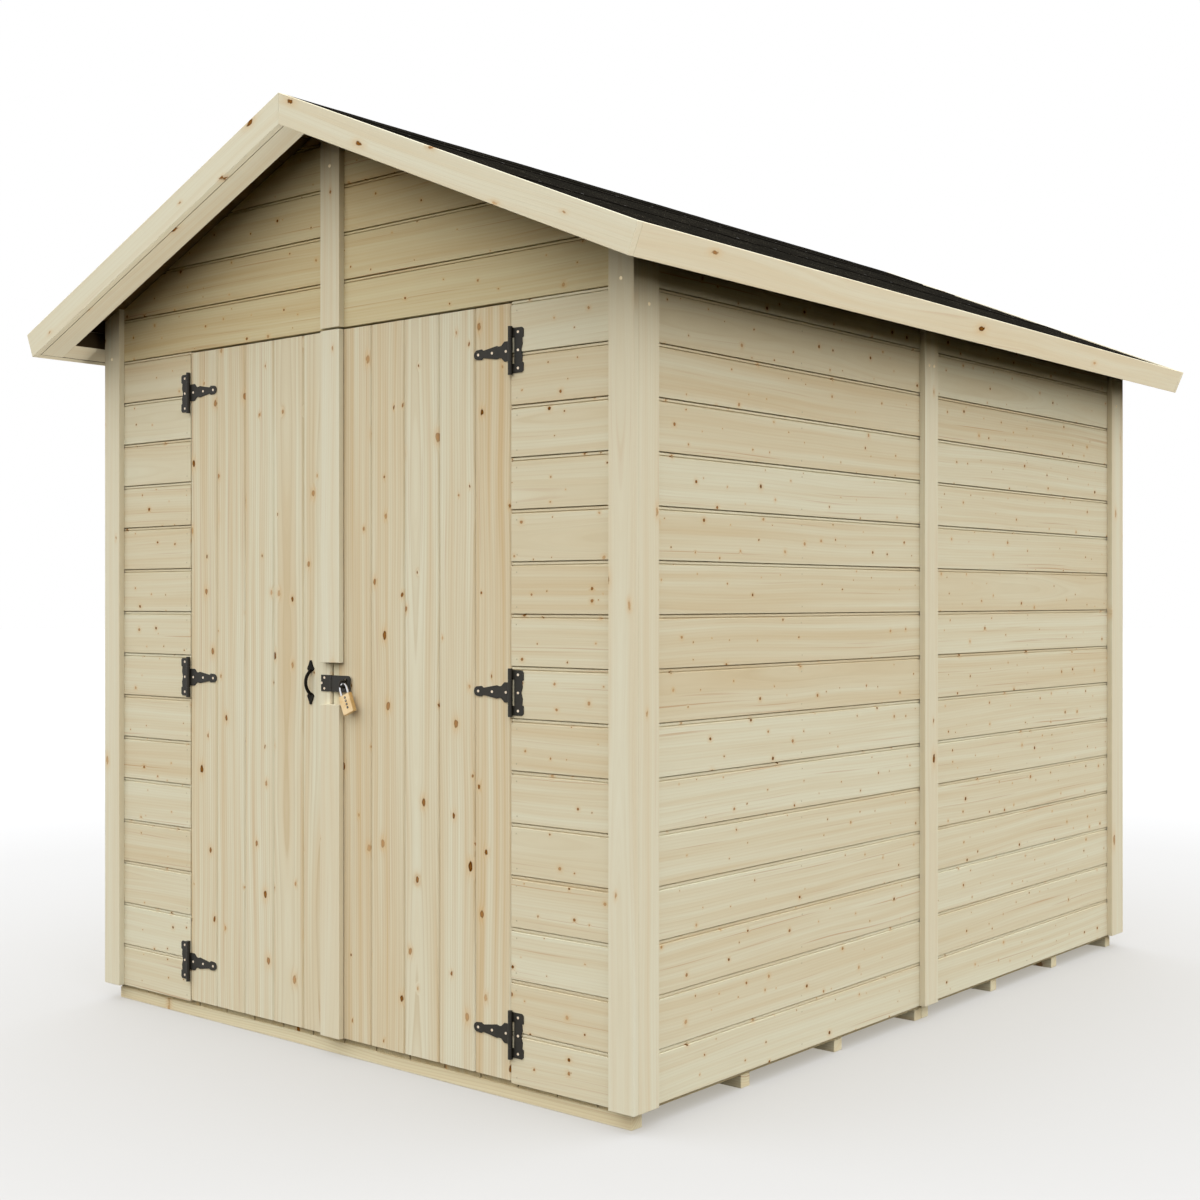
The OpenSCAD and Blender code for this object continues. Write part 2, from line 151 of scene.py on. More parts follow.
pineLooks = {
    "wallPine": {
        "cream": (219, 215, 194), "tan": (209, 193, 162),
        "late": (186, 163, 122), "resin": (178, 128, 86),
        "knotCell": (0.078, 0.075), "knotShare": 0.85, "knotSize": (0.018, 0.06),
        "ringPitch": 0.0065, "ringDepth": 0.16, "resinShare": 0.5, "rough": 0.62,
    },
    # painted shade: the gable's copy of wall pine, darker and yellower, for the shade under the roof's
    # front edge
    "gablePine": {
        "cream": (212, 202, 168), "tan": (200, 178, 136),
        "late": (178, 150, 104), "resin": (172, 120, 78),
        "knotCell": (0.078, 0.075), "knotShare": 0.85, "knotSize": (0.018, 0.06),
        "ringPitch": 0.0065, "ringDepth": 0.16, "resinShare": 0.5, "rough": 0.62,
    },
    "doorPine": {
        "cream": (221, 217, 197), "tan": (207, 184, 147),
        "late": (182, 156, 112), "resin": (178, 126, 84),
        "knotCell": (0.16, 0.1), "knotShare": 0.85, "knotSize": (0.024, 0.07),
        "ringPitch": 0.0075, "ringDepth": 0.36, "resinShare": 0.4, "rough": 0.62,
    },
    "trimPine": {
        "cream": (221, 217, 198), "tan": (215, 202, 175),
        "late": (195, 174, 136), "resin": (188, 140, 98),
        "knotCell": (0.27, 0.12), "knotShare": 0.8, "knotSize": (0.02, 0.06),
        "ringPitch": 0.008, "ringDepth": 0.12, "resinShare": 0.2, "rough": 0.6,
    },
    "framePine": {
        "cream": (220, 213, 188), "tan": (213, 198, 164),
        "late": (188, 164, 122), "resin": (174, 124, 82),
        "knotCell": (0.22, 0.1), "knotShare": 0.7, "knotSize": (0.03, 0.08),
        "ringPitch": 0.006, "ringDepth": 0.3, "resinShare": 0.3, "rough": 0.74,
    },
    # painted light: a paler copy of frame pine for the joists, for light thrown up from the floor
    "joistPinePaintedLight": {
        "cream": (232, 226, 200), "tan": (223, 208, 174),
        "late": (196, 170, 126), "resin": (190, 140, 94),
        "knotCell": (0.22, 0.1), "knotShare": 0.7, "knotSize": (0.02, 0.06),
        "ringPitch": 0.006, "ringDepth": 0.45, "resinShare": 0.5, "rough": 0.74,
    },
    # painted shade: a darker pine for the deck, whose edge shows only in the shade under the walls
    "deckPinePaintedShade": {
        "cream": (196, 186, 156), "tan": (184, 166, 130),
        "late": (158, 134, 96), "resin": (156, 110, 74),
        "knotCell": (0.22, 0.1), "knotShare": 0.5, "knotSize": (0.02, 0.06),
        "ringPitch": 0.006, "ringDepth": 0.3, "resinShare": 0.2, "rough": 0.74,
    },
    # painted shade: a dark pine for the roof boards, which show only from below in the shade under the
    # roof
    "roofPinePaintedShade": {
        "cream": (146, 125, 90), "tan": (134, 108, 73),
        "late": (106, 82, 51), "resin": (110, 73, 44),
        "knotCell": (0.22, 0.1), "knotShare": 0.7, "knotSize": (0.03, 0.08),
        "ringPitch": 0.006, "ringDepth": 0.3, "resinShare": 0.3, "rough": 0.78,
    },
}
knotLook = {"rim": (98, 58, 16), "heart": (180, 122, 60), "halo": (210, 172, 118)}
paintedShade = {"colour": (58, 45, 28), "share": 0.97, "tone": 2.0}  # painted shade: faces whose tone is over one turn this dark brown, for the shade under the eaves
pineGrain = {  # how far each pattern is stretched along the board, across the rings and between boards
    "wave": (1.4, 5.0, 5.0), "streak": (0.9, 62.0, 31.0), "fibre": (9.0, 900.0, 31.0),
    "vein": (1.6, 210.0, 57.0), "waveDepth": 0.03, "knotPush": 0.006, "wobbleScale": 90.0,
    "wobble": 0.06, "bump": 0.35, "bumpDepth": 0.0004,
}


def pineMaterial(name, look, pattern):
    material, tree, shader = newMaterial(name)
    grain = addNode(tree, "ShaderNodeAttribute", attribute_name="grain").outputs["Vector"]
    tone = addNode(tree, "ShaderNodeAttribute", attribute_name="tone").outputs["Fac"]
    along, across, depth = addNode(tree, "ShaderNodeSeparateXYZ", {0: grain}).outputs[:3]

    # knots, one at most in each cell
    wobble = noise(tree, grain, pattern["wobbleScale"])
    wobble = sums(tree, "MULTIPLY_ADD", wobble, pattern["wobble"], -pattern["wobble"] / 2)
    knotU = sums(tree, "MULTIPLY_ADD", along, 1 / look["knotCell"][0], wobble)
    knotV = sums(tree, "MULTIPLY_ADD", across, 1 / look["knotCell"][1], wobble)
    knotPlace = addNode(tree, "ShaderNodeCombineXYZ", {0: knotU, 1: knotV}).outputs[0]
    cells = addNode(tree, "ShaderNodeTexVoronoi", {"Vector": knotPlace, "Scale": 1.0},
                    voronoi_dimensions="2D")
    away = cells.outputs["Distance"]
    odds = addNode(tree, "ShaderNodeSeparateColor", {0: cells.outputs["Color"]}).outputs
    present = sums(tree, "LESS_THAN", odds[1], look["knotShare"])
    size = ramp(tree, sums(tree, "POWER", odds[0], 2.0), 0, 1, *look["knotSize"])
    size = sums(tree, "MULTIPLY", size, present)
    knot = ramp(tree, sums(tree, "SUBTRACT", size, away), -0.004, 0.012)
    knot = sums(tree, "MULTIPLY", knot, present)
    reach = sums(tree, "MULTIPLY_ADD", size, 2.0, 0.0001)
    nearness = sums(tree, "POWER", sums(tree, "DIVIDE", away, reach), 2.0)
    halo = sums(tree, "EXPONENT", sums(tree, "MULTIPLY", nearness, -1.0))

    # rings: distance from the pith, waved along the board and pushed aside by the knots
    wave = noise(tree, stretched(tree, grain, pattern["wave"]), 1.0, 1.0)
    pith = addNode(tree, "ShaderNodeCombineXYZ", {1: across, 2: depth}).outputs[0]
    radius = addNode(tree, "ShaderNodeVectorMath", {0: pith}, operation="LENGTH").outputs["Value"]
    radius = sums(tree, "MULTIPLY_ADD", wave, pattern["waveDepth"], radius)
    radius = sums(tree, "MULTIPLY_ADD", halo, pattern["knotPush"], radius)
    ring = sums(tree, "FRACT", sums(tree, "DIVIDE", radius, look["ringPitch"]))
    ring = sums(tree, "MULTIPLY", sums(tree, "POWER", ring, 3.0), ramp(tree, ring, 1.0, 0.93))
    alongRings = addNode(tree, "ShaderNodeCombineXYZ", {0: along, 1: radius, 2: tone}).outputs[0]
    streak = noise(tree, stretched(tree, alongRings, pattern["streak"]), 1.0, 3.0)
    fibre = noise(tree, stretched(tree, alongRings, pattern["fibre"]), 1.0, 2.0)
    vein = noise(tree, stretched(tree, alongRings, pattern["vein"]), 1.0, 1.0)
    resin = sums(tree, "MULTIPLY", ramp(tree, vein, 0.68, 0.78), look["resinShare"])

    # colour
    share = sums(tree, "MULTIPLY_ADD", tone, 0.4, ramp(tree, streak, 0.3, 0.7, -0.2, 0.6), clamp=True)
    wood = mixColours(tree, share, fromScreen(*look["cream"]), fromScreen(*look["tan"]))
    lateShare = ramp(tree, fibre, 0.35, 0.8, 0.0, 0.12)
    lateShare = sums(tree, "MULTIPLY_ADD", ring, look["ringDepth"], lateShare)
    wood = mixColours(tree, lateShare, wood, fromScreen(*look["late"]))
    wood = mixColours(tree, resin, wood, fromScreen(*look["resin"]))
    wood = mixColours(tree, sums(tree, "MULTIPLY", halo, 0.5), wood, fromScreen(*knotLook["halo"]))
    heart = ramp(tree, sums(tree, "DIVIDE", away, sums(tree, "ADD", size, 0.0001)), 0.35, 0.85)
    burnt = sums(tree, "MULTIPLY_ADD", odds[2], 0.8, sums(tree, "MULTIPLY", heart, 0.4), clamp=True)
    knotWood = mixColours(tree, burnt, fromScreen(*knotLook["heart"]), fromScreen(*knotLook["rim"]))
    knotShare = sums(tree, "MULTIPLY", knot, ramp(tree, odds[2], 0, 0.7, 0.45, 1.0))
    wood = mixColours(tree, knotShare, wood, knotWood)
    # painted shade: a tone over one turns the wood dark brown, for the shade under the eaves
    paintedShadeShare = ramp(tree, tone, 1.0, paintedShade["tone"], 0.0, paintedShade["share"])
    wood = mixColours(tree, paintedShadeShare, wood, fromScreen(*paintedShade["colour"]))
    feed(tree, shader.inputs["Base Color"], wood)

    rough = ramp(tree, streak, 0.2, 0.8, look["rough"] - 0.06, look["rough"] + 0.08)
    feed(tree, shader.inputs["Roughness"], rough)
    shader.inputs["Specular IOR Level"].default_value = 0.0
    height = sums(tree, "MULTIPLY_ADD", ring, 0.6, fibre)
    height = sums(tree, "MULTIPLY_ADD", knot, -0.5, height)
    addBump(tree, shader, height, pattern["bump"], pattern["bumpDepth"])
    return material


feltLook = {
    "dark": (15, 14, 12), "grey": (40, 37, 32), "speck": (104, 98, 84), "granule": 420.0, "patch": 9.0,
    "paleOver": 0.96, "bump": 0.7, "bumpDepth": 0.0008,
}


def feltMaterial(look):  # mineral felt: packed granules, a few of them pale
    material, tree, shader = newMaterial("mineralFelt")
    place = addNode(tree, "ShaderNodeTexCoord").outputs["Object"]
    granules = addNode(tree, "ShaderNodeTexVoronoi", {"Vector": place, "Scale": look["granule"]})
    odds = addNode(tree, "ShaderNodeSeparateColor", {0: granules.outputs["Color"]}).outputs
    patches = noise(tree, place, look["patch"], 4.0)
    grey = sums(tree, "MULTIPLY", odds[0], ramp(tree, patches, 0.3, 0.7, 0.42, 0.8))
    colour = mixColours(tree, grey, fromScreen(*look["dark"]), fromScreen(*look["grey"]))
    pale = ramp(tree, odds[1], look["paleOver"], look["paleOver"] + 0.01)
    pale = sums(tree, "MULTIPLY", pale, ramp(tree, patches, 0.4, 0.7))
    colour = mixColours(tree, pale, colour, fromScreen(*look["speck"]))
    feed(tree, shader.inputs["Base Color"], colour)
    feed(tree, shader.inputs["Roughness"], ramp(tree, odds[2], 0, 1, 0.78, 0.98))
    shader.inputs["Specular IOR Level"].default_value = 0.0
    height = sums(tree, "SUBTRACT", sums(tree, "MULTIPLY", patches, 0.6), granules.outputs["Distance"])
    addBump(tree, shader, height, look["bump"], look["bumpDepth"])
    return material


metalLooks = {  # low and high colour, metal, low and high roughness, grain, bump
    "blackIron": ((28, 26, 20), (51, 47, 39), 0.35, (0.42, 0.6), 420.0, 0.3),
    "handleIron": ((16, 14, 11), (44, 40, 34), 1.0, (0.36, 0.5), 420.0, 0.3),
    "polishedSteel": ((205, 205, 208), (236, 236, 238), 1.0, (0.1, 0.2), 260.0, 0.02),
    "padlockBrass": ((214, 180, 126), (238, 214, 172), 1.0, (0.3, 0.42), 500.0, 0.06),
    "dialBlack": ((34, 26, 20), (60, 48, 38), 0.0, (0.4, 0.55), 800.0, 0.1),
    "dialPaint": ((226, 220, 206), (244, 240, 230), 0.0, (0.5, 0.6), 800.0, 0.05),
    "screwZinc": ((234, 216, 190), (250, 238, 220), 1.0, (0.25, 0.4), 600.0, 0.08),
    "yellowZinc": ((232, 214, 176), (250, 238, 210), 0.6, (0.4, 0.55), 600.0, 0.08),
    "nailSteel": ((172, 160, 132), (196, 186, 158), 0.2, (0.45, 0.6), 700.0, 0.1),
    "cloutSteel": ((60, 60, 58), (92, 92, 88), 0.8, (0.5, 0.65), 500.0, 0.1),
}


def metalMaterial(name, look):
    low, high, metal, rough, grain, bump = look
    material, tree, shader = newMaterial(name)
    place = addNode(tree, "ShaderNodeTexCoord").outputs["Object"]
    fine = noise(tree, place, grain, 3.0)
    broad = noise(tree, place, grain / 9, 2.0)
    share = sums(tree, "MULTIPLY_ADD", fine, 0.5, ramp(tree, broad, 0.3, 0.7, -0.1, 0.6), clamp=True)
    colour = mixColours(tree, share, fromScreen(*low), fromScreen(*high))
    feed(tree, shader.inputs["Base Color"], colour)
    feed(tree, shader.inputs["Roughness"], ramp(tree, broad, 0.3, 0.7, *rough))
    shader.inputs["Metallic"].default_value = metal
    addBump(tree, shader, sums(tree, "ADD", fine, broad), bump, 0.0005)
    return material


pines = {name: pineMaterial(name, look, pineGrain) for name, look in pineLooks.items()}
metals = {name: metalMaterial(name, look) for name, look in metalLooks.items()}
mineralFelt = feltMaterial(feltLook)
print("materials made:", len(pines) + len(metals) + 1)


# meshes: a stack gathers the boards or heads of one piece

def newStack():
    return {"verts": [], "faces": [], "grain": [], "tone": []}


def finishPiece(name, mesh, material, body, slotName, nodes=()):
    bm = bmesh.new()
    bm.from_mesh(mesh)
    bmesh.ops.recalc_face_normals(bm, faces=bm.faces)
    bm.to_mesh(mesh)
    bm.free()
    mesh.materials.clear()
    mesh.materials.append(material)
    piece = bpy.data.objects.new(name, mesh)
    scene.collection.objects.link(piece)
    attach(piece, body)
    if nodes:
        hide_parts(*nodes)
    return piece


def stackPiece(name, stack, material, body, slotName, nodes=()):
    mesh = bpy.data.meshes.new(name)
    mesh.from_pydata(stack["verts"], [], stack["faces"])
    if stack["grain"]:
        markGrain(mesh, stack["grain"], stack["tone"])
    return finishPiece(name, mesh, material, body, slotName, nodes)


def markGrain(mesh, grain, tone):
    mesh.attributes.new("grain", "FLOAT_VECTOR", "POINT")
    mesh.attributes.new("tone", "FLOAT", "POINT")
    mesh.attributes["grain"].data.foreach_set("vector", [part for row in grain for part in row])
    mesh.attributes["tone"].data.foreach_set("value", tone)


def rollTimber(width):  # a timber's place in its log: shift along, pith across, pith depth, tone
    inside = dice.random() < 0.2
    off = dice.uniform(-0.3, 0.3) if inside else dice.choice((-1, 1)) * dice.uniform(0.7, 1.5)
    depth = dice.choice((-1, 1)) * dice.uniform(0.02, 0.07)
    return dice.uniform(0, 90), (0.5 + off) * width, depth, dice.random()


def addBoard(stack, section, starts, ends, place, paintedShadeTone=None):
    origin, along, across, out = place
    width = max(v for w, v in section)
    shift, pithV, pithW, tone = rollTimber(width)
    # a given tone overrides the random one; it carries the painted shade under the eaves
    tone = tone if paintedShadeTone is None else paintedShadeTone
    first = len(stack["verts"])
    count = len(section)
    for edge in (starts, ends):
        for w, v in section:
            u = edge(v) if callable(edge) else edge
            stack["verts"].append(origin + along * u + across * v + out * w)
            stack["grain"].append((u + shift, v - pithV, w - pithW))
            stack["tone"].append(tone)
    for i in range(count):
        j = (i + 1) % count
        stack["faces"].append((first + i, first + j, first + count + j, first + count + i))
    stack["faces"].append(tuple(range(first, first + count)))
    stack["faces"].append(tuple(range(first + count, first + 2 * count)))


def cutSection(section, keep):  # the part of a section where keep(w, v) isn't negative
    result = []
    for here, there in zip(section, section[1:] + section[:1]):
        a, b = keep(*here), keep(*there)
        if a >= 0:
            result.append(here)
        if (a >= 0) != (b >= 0):
            t = a / (a - b)
            result.append(tuple(p + (q - p) * t for p, q in zip(here, there)))
    return result


def markLevel(section, level):  # a section with extra points where it crosses a height
    result = []
    for here, there in zip(section, section[1:] + section[:1]):
        result.append(here)
        a, b = here[1] - level, there[1] - level
        if a * b < 0:
            t = a / (a - b)
            result.append(tuple(p + (q - p) * t for p, q in zip(here, there)))
    return result


# roof lines: the pitch the roof is built at, and heights from the frame

roofPitch = math.radians(23)
roofSlope = math.tan(roofPitch)
seat = 0.0001  # what the walls stop short of the roof boards
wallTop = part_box("front_gable")[1].z
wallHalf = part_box("front_gable")[1].x


def roofHeight(x):
    return wallTop - abs(x) * roofSlope


def roofReach(z):
    return (wallTop - z) / roofSlope


# shiplap walls

shiplap = {
    "thick": 0.012, "pitch": 0.112, "lipBack": 0.0036, "rebate": 0.008, "ledge": 0.0098,
    "recess": 0.0019, "quirkHigh": 0.003, "quirkDeep": 0.0036, "slope": 0.0029, "slopeBack": 0.0042,
    "tongueThick": 0.003, "tongue": 0.005, "seam": 0.0002, "ease": 0.0007, "joint": 0.001,
}


def shiplapSection(look):  # (w, v): depth from the inner face, height from the lip's foot
    thick, ease = look["thick"], look["ease"]
    lipBack, tongueThick = look["lipBack"], look["tongueThick"]
    ledgeFace = thick - look["recess"]
    quirkBack = ledgeFace - look["quirkDeep"]
    foot = look["pitch"] - look["ledge"]
    quirkTop = foot + look["quirkHigh"]
    ledgeTop = look["pitch"] - look["slope"]
    slopeTop = look["pitch"] - look["seam"]
    top = look["pitch"] + look["tongue"]
    return [
        (0, look["rebate"]), (lipBack, look["rebate"]), (lipBack, 0), (thick - ease, 0), (thick, ease),
        (thick, foot - ease), (thick - ease, foot), (quirkBack, foot), (quirkBack, quirkTop),
        (ledgeFace, quirkTop), (ledgeFace, ledgeTop), (look["slopeBack"], slopeTop),
        (tongueThick, slopeTop), (tongueThick, top), (0, top),
    ]


boardSection = shiplapSection(shiplap)
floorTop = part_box("right_wall")[0].z


def rowFoot(row):
    return floorTop + row * shiplap["pitch"]


def rowsBetween(low, high):
    first = round((low - floorTop) / shiplap["pitch"])
    last = math.ceil((high - floorTop) / shiplap["pitch"] - 0.01)  # no row for a sliver
    return range(first, last)


def cladEnd(name, node, halves, low, high, out, pine="wallPine"):  # boards along x, cut to the roof
    stack = newStack()
    lo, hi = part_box(node)
    innerY = hi.y if out.y < 0 else lo.y
    for row in rowsBetween(low, high):
        foot = rowFoot(row)
        place = (Vector((0, innerY, foot)), alongX, alongZ, out)
        for side, near, far in halves:
            section = cutSection(boardSection, lambda w, v: roofHeight(near) - foot - v)
            section = markLevel(section, roofHeight(far) - foot)
            tip = lambda v: side * min(far, roofReach(foot + v))
            addBoard(stack, section, side * near, tip, place)
    return stackPiece(name, stack, pines[pine], "shed", "pine_boarding", [node])


def cladSide(name, node, side):  # boards along y in two panels, the top ones cut to the roof
    stack = newStack()
    lo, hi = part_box(node)
    inner = min(abs(lo.x), abs(hi.x))
    for row in rowsBetween(lo.z, hi.z):
        foot = rowFoot(row)
        place = (Vector((side * inner, 0, foot)), alongY, alongZ, alongX * side)
        section = cutSection(boardSection, lambda w, v: roofHeight(inner + w) - foot - v)
        for start, end in ((lo.y, -shiplap["joint"]), (shiplap["joint"], hi.y)):
            addBoard(stack, section, start, end, place)
    return stackPiece(name, stack, pines["wallPine"], "shed", "pine_boarding", [node])


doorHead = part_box("front_gable")[0].z
jambs = {-1: -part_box("front_wall_left")[1].x, 1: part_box("front_wall_right")[0].x}
leftPart = ((-1, jambs[-1], wallHalf),)
rightPart = ((1, jambs[1], wallHalf),)
bothHalves = ((-1, shiplap["joint"], wallHalf), (1, shiplap["joint"], wallHalf))
cladEnd("frontCladdingLeft", "front_wall_left", leftPart, floorTop, doorHead, -alongY)
cladEnd("frontCladdingRight", "front_wall_right", rightPart, floorTop, doorHead, -alongY)
# the gable boards take the darker copy of wall pine, painted shade
cladEnd("gableCladding", "front_gable", bothHalves, doorHead, wallTop, -alongY, "gablePine")
cladEnd("rearCladding", "rear_wall", bothHalves, floorTop, wallTop, alongY)
cladSide("leftCladding", "left_wall", -1)
cladSide("rightCladding", "right_wall", 1)
print("walls clad")


# doors: vertical boards with V-joints

doorBoards = {
    "left": {"node": "left_door_boards", "body": "left_door", "firstJoint": -0.451},
    "right": {"node": "right_door_boards", "body": "right_door", "firstJoint": 0.126},
    "pitch": 0.112, "joints": 4, "vee": 0.0034, "gap": 0.0009,
}


def veeSection(thick, width, vee):
    near, far = thick - vee, width - vee
    return [(0, 0), (near, 0), (thick, vee), (thick, far), (near, width), (0, width)]


def boardDoor(side, look):
    stack = newStack()
    lo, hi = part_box(look[side]["node"])
    joints = [look[side]["firstJoint"] + i * look["pitch"] for i in range(look["joints"])]
    edges = [lo.x] + joints + [hi.x]
    for left, right in zip(edges, edges[1:]):
        width = right - left - look["gap"]
        place = (Vector((left + look["gap"] / 2, hi.y, lo.z)), alongZ, alongX, -alongY)
        addBoard(stack, veeSection(hi.y - lo.y, width, look["vee"]), 0, hi.z - lo.z, place)
    name, body, node = side + "DoorBoarding", look[side]["body"], look[side]["node"]
    return stackPiece(name, stack, pines["doorPine"], body, "pine_boarding", [node])


boardDoor("left", doorBoards)
boardDoor("right", doorBoards)
print("doors boarded")


# floor deck: boards along y in two panels

deckBoards = {
    "pitch": 0.112, "firstJoint": -0.88, "vee": 0.0015, "gap": 0.004, "joint": 0.001, "inset": 0.003,
}


def boardDeck(look):
    stack = newStack()
    lo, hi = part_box("floor_deck")
    edges = [lo.x]
    joint = look["firstJoint"]
    while joint < hi.x:
        edges.append(joint)
        joint += look["pitch"]
    edges.append(hi.x)
    panels = ((lo.y + look["inset"], -look["joint"]), (look["joint"], hi.y - look["inset"]))
    for left, right in zip(edges, edges[1:]):
        section = veeSection(hi.z - lo.z, right - left - look["gap"], look["vee"])
        place = (Vector((left + look["gap"] / 2, 0, lo.z)), alongY, alongX, alongZ)
        for start, end in panels:
            addBoard(stack, section, start, end, place)
    pine = pines["deckPinePaintedShade"]
    return stackPiece("deckBoarding", stack, pine, "shed", "framing_timber", ["floor_deck"])


boardDeck(deckBoards)


# roof boards: along y, V-jointed on the side seen from the room

roofBoards = {"pitch": 0.1, "vee": 0.0025, "gap": 0.0003, "thick": 0.011}


def slopePlace(side):  # origin on the ridge line, along y, down the slope, out of the roof
    down = Vector((side * math.cos(roofPitch), 0, -math.sin(roofPitch)))
    out = Vector((side * math.sin(roofPitch), 0, math.cos(roofPitch)))
    return Vector((0, 0, wallTop + seat)), alongY, down, out


def slopeLength(node, top):  # down the slope to a node's outer edge; top is its height off the seat
    lo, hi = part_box(node)
    return (max(abs(lo.x), abs(hi.x)) - top * math.sin(roofPitch)) / math.cos(roofPitch)


def boardRoof(side, node, look):
    stack = newStack()
    lo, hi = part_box(node)
    thick, vee = look["thick"], look["vee"]
    length = slopeLength(node, thick)
    plumb = thick * math.tan(roofPitch)
    count = math.ceil(length / look["pitch"])
    for i in range(count):
        start = i * look["pitch"]
        width = min(look["pitch"], length - start) - look["gap"]
        upper = -plumb if i == 0 else 0.0
        section = [(0, vee), (vee, 0), (thick, upper), (thick, width), (vee, width), (0, width - vee)]
        origin, along, down, out = slopePlace(side)
        pastWall = start * math.cos(roofPitch) > wallHalf
        paintedShadeTone = paintedShade["tone"] if pastWall else None  # painted shade: the boards past the wall go dark brown, for the shade under the eaves
        addBoard(stack, section, lo.y, hi.y, (origin + down * start, along, down, out), paintedShadeTone)
    name = node.replace("_roof_boards", "RoofBoarding")
    return stackPiece(name, stack, pines["roofPinePaintedShade"], "shed", "framing_timber", [node])


boardRoof(-1, "left_roof_boards", roofBoards)
boardRoof(1, "right_roof_boards", roofBoards)
print("floor and roof boarded")


# plain timbers: the frame's own solids with eased edges and grain along each one

timbers = {
    "trimPine": [
        "front_corner_boards", "rear_corner_boards", "side_corner_boards", "side_cover_strips",
        "front_gable_strip", "rear_cover_strip", "left_door_strip", "left_barge_boards",
        "right_barge_boards", "eaves_boards", "left_verge_battens", "right_verge_battens",
        "eaves_battens",
    ],
    "framePine": [
        "end_wall_studs", "end_wall_rails", "side_wall_studs", "side_wall_rails", "left_door_ledges",
        "left_door_brace", "right_door_ledges", "right_door_brace", "right_door_stile", "ridge_battens",
    ],
    # the joists take the paler copy of frame pine, painted light
    "joistPinePaintedLight": ["floor_joists"],
}
timberSlots = {
    "trimPine": "pine_boarding", "framePine": "framing_timber", "joistPinePaintedLight": "framing_timber",
}
easedEdge = {"trimPine": 0.0012, "framePine": 0.0018, "joistPinePaintedLight": 0.0018}
shrunk = {"left_verge_battens": alongY, "right_verge_battens": alongY, "eaves_battens": alongX}
shrinkage = 0.0016  # the gap between a shrunk batten and the board in front of it
# painted shade: these pieces' faces turned to the wall take the dark tone, for the shade in the eaves
paintedShadeInside = ("eaves_boards", "eaves_battens")
bodies = frame["record"]["behaviour"]["bodies"]
nodeBody = {node: body for body, names in bodies.items() for node in names}


def islandsOf(bm):  # the vertices of each loose timber, always in the same order
    done = set()
    for start in bm.verts:
        if start in done:
            continue
        done.add(start)
        island = [start]
        for vert in island:
            for edge in vert.link_edges:
                other = edge.other_vert(vert)
                if other not in done:
                    done.add(other)
                    island.append(other)
        yield island


def drawBack(bm, axis):  # move the faces that look outwards along an axis a little inwards
    outer = [face for face in bm.faces
             if face.normal.dot(axis) * math.copysign(1, face.calc_center_median().dot(axis)) > 0.8]
    for face in outer:
        for vert in face.verts:
            vert.co -= face.normal * shrinkage


def dressTimber(node, pine):
    bm = bmesh.new()
    bm.from_mesh(frame["nodes"][node].data)
    bmesh.ops.remove_doubles(bm, verts=bm.verts, dist=1e-6)
    bmesh.ops.dissolve_limit(bm, angle_limit=math.radians(1), verts=bm.verts, edges=bm.edges)
    if node in shrunk:
        drawBack(bm, shrunk[node])
    bmesh.ops.bevel(bm, geom=list(bm.edges), offset=easedEdge[pine], segments=2, profile=0.6,
                    affect="EDGES", clamp_overlap=True)
    bm.verts.index_update()
    bm.edges.index_update()
    bm.faces.index_update()
    grain = [None] * len(bm.verts)
    tones = [0.0] * len(bm.verts)
    for island in islandsOf(bm):
        edges = {edge for vert in island for edge in vert.link_edges}
        longest = max(edges, key=lambda edge: (round(edge.calc_length(), 5), -edge.index))
        along = (longest.verts[1].co - longest.verts[0].co).normalized()
        faces = {face for vert in island for face in vert.link_faces}
        broad = max(faces, key=lambda face: (round(face.calc_area(), 6), -face.index))
        out = broad.normal.normalized()
        across = out.cross(along).normalized()
        reach = [vert.co.dot(across) for vert in island]
        low = min(reach)
        top = max(vert.co.dot(out) for vert in island)
        shift, pithV, pithW, tone = rollTimber(max(reach) - low)
        for vert in island:
            u, v, w = (vert.co.dot(axis) for axis in (along, across, out))
            grain[vert.index] = (u + shift, v - low - pithV, w - top - pithW)
            tones[vert.index] = tone
    # painted shade: faces turned towards the wall go dark brown, for the shade in the eaves
    if node in paintedShadeInside:
        for face in bm.faces:
            if face.normal.x * math.copysign(1, face.calc_center_median().x) < -0.85:
                for vert in face.verts:
                    tones[vert.index] = paintedShade["tone"]
    mesh = bpy.data.meshes.new(node)
    bm.to_mesh(mesh)
    bm.free()
    markGrain(mesh, grain, tones)
    words = node.split("_")
    name = words[0] + "".join(word.capitalize() for word in words[1:])
    return finishPiece(name, mesh, pines[pine], nodeBody[node], timberSlots[pine], [node])


for pine, nodes in timbers.items():
    for node in nodes:
        dressTimber(node, pine)
print("timbers dressed")


# felt: three courses on each slope and a cap along the ridge

felt = {
    "under": 0.0111, "thick": 0.0019, "course": 0.42, "lap": 0.06, "ramp": 0.03, "capHalf": 0.15,
    "stepDown": 0.03, "stepAlong": 0.06, "ripple": 0.00018, "clear": 0.0001, "topFree": 0.02,
}


def ripple(s, y):  # low waves left from unrolling
    waves = math.sin(9.0 * y + 4.0 * s) + math.sin(23.0 * s - 5.0 * y) + math.sin(31.0 * y)
    return felt["ripple"] * waves


